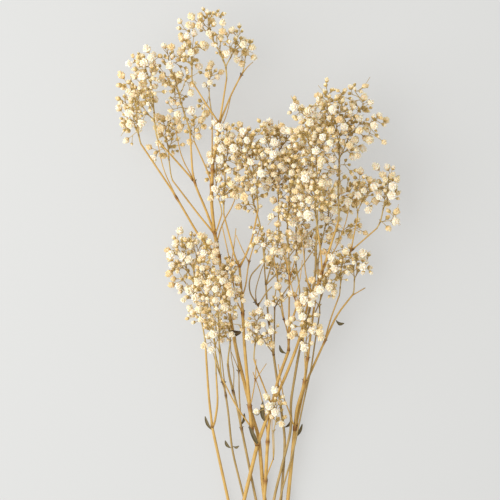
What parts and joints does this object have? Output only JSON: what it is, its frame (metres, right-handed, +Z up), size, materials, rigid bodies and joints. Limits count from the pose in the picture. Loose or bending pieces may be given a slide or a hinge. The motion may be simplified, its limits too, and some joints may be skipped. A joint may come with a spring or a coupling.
{
  "type": "bunch of dried gypsophila stems",
  "caption": "Loose bunch of cut, dried gypsophila stems with fine branching sprays of small cream blooms, lying flat.",
  "frame": {"origin": "middle of the bunch's footprint, on the surface it lies on", "axes": "+Y from the cut ends to the flower heads, +Z up from the surface, +X to the right seen from above"},
  "size_m": [0.1722, 0.4403, 0.0713],
  "materials": {
    "straw_stem": "dry golden straw, matte",
    "olive_stem": "dry olive-tan straw, matte",
    "cream_bloom": "papery dry petals, cream to tan",
    "dry_leaf": "shrivelled dry leaf, olive brown"
  },
  "bodies": {
    "root": {"stem_a": "straw_stem", "stem_b": "olive_stem", "stem_c": "olive_stem", "stem_g": "straw_stem", "stem_f": "straw_stem", "stem_h": "straw_stem", "stem_n": "olive_stem", "stem_l": "olive_stem", "stem_j": "olive_stem", "stem_m": "straw_stem", "spray_a_left": "cream_bloom", "spray_a_right": "cream_bloom", "spray_b": "cream_bloom", "spray_c": "cream_bloom", "spray_d": "cream_bloom", "spray_g_outer": "cream_bloom", "spray_g_side": "cream_bloom", "spray_g_middle": "cream_bloom", "spray_g_low": "cream_bloom", "spray_g_inner": "cream_bloom", "spray_g_slim": "cream_bloom", "spray_g_fork_left": "cream_bloom", "spray_g_fork_top": "cream_bloom", "spray_g_fork_right": "cream_bloom", "spray_g_column": "cream_bloom", "spray_f_left": "cream_bloom", "spray_f_middle": "cream_bloom", "spray_f_right": "cream_bloom", "spray_f_front": "cream_bloom", "spray_f_far": "cream_bloom", "spray_f_far_low": "cream_bloom", "spray_j_left": "cream_bloom", "spray_j_right": "cream_bloom", "spray_j_curl": "cream_bloom", "spray_j_low": "cream_bloom", "spray_h_left": "cream_bloom", "spray_h_right": "cream_bloom", "spray_h_small": "cream_bloom", "spray_h_curved": "cream_bloom", "spray_h_base": "cream_bloom", "spray_n": "cream_bloom", "spray_l": "cream_bloom", "spray_m_left": "cream_bloom", "spray_m_right": "cream_bloom", "spray_m_middle": "cream_bloom", "spray_m_front": "cream_bloom", "leaf_f_joint": "dry_leaf", "leaf_f_tongue": "dry_leaf", "leaf_f_long": "dry_leaf", "leaf_f_dark": "dry_leaf", "leaf_h_fork": "dry_leaf", "leaf_j_curl": "dry_leaf", "leaf_m_joint": "dry_leaf", "leaf_m_curl": "dry_leaf", "leaf_b_left": "dry_leaf", "leaf_b_right": "dry_leaf", "leaf_a_joint": "dry_leaf", "leaf_c_joint": "dry_leaf"}
  },
  "joints": []
}
